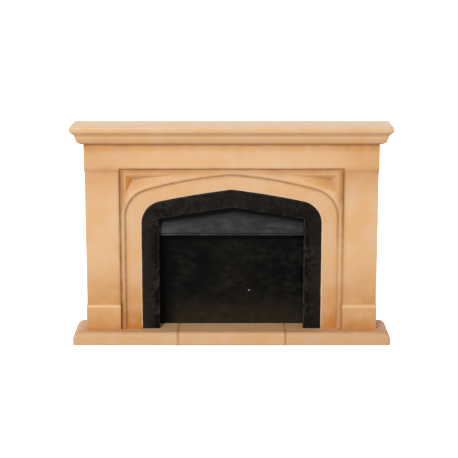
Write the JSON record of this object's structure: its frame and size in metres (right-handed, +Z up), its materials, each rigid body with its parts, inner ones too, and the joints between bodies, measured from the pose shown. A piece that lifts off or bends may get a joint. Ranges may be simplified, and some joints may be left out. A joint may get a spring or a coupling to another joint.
{
  "type": "miniature fireplace",
  "caption": "Dolls' house fireplace: stone-effect Tudor arch surround with moulded shelf, pilasters, black arched frame, smoke hood, fireback and slab hearth.",
  "frame": {"origin": "under the middle of the hearth, on the surface that the fireplace stands on", "axes": "+X along the mantel's width, to the right as seen from the front; +Y from the hearth's front to the wall behind; +Z up"},
  "size_m": [0.1548, 0.0234, 0.1069],
  "materials": {
    "stone_paint": "matte",
    "hearth_paint": "matte",
    "frame_black": "satin",
    "hood_grey": "satin",
    "soot_black": "matte"
  },
  "bodies": {
    "root": {"shelf_slab": "stone_paint", "bed_moulding": "stone_paint", "frieze": "stone_paint", "pilaster_left": "stone_paint", "pilaster_right": "stone_paint", "plinth_left": "stone_paint", "plinth_right": "stone_paint", "arch_panel": "stone_paint", "arch_lining": "stone_paint", "fire_frame": "frame_black", "smoke_hood": "hood_grey", "fireback": "soot_black", "firebox_cheek_left": "soot_black", "firebox_cheek_right": "soot_black", "hearth_left": "hearth_paint", "hearth_centre": "hearth_paint", "hearth_right": "hearth_paint"}
  },
  "joints": []
}
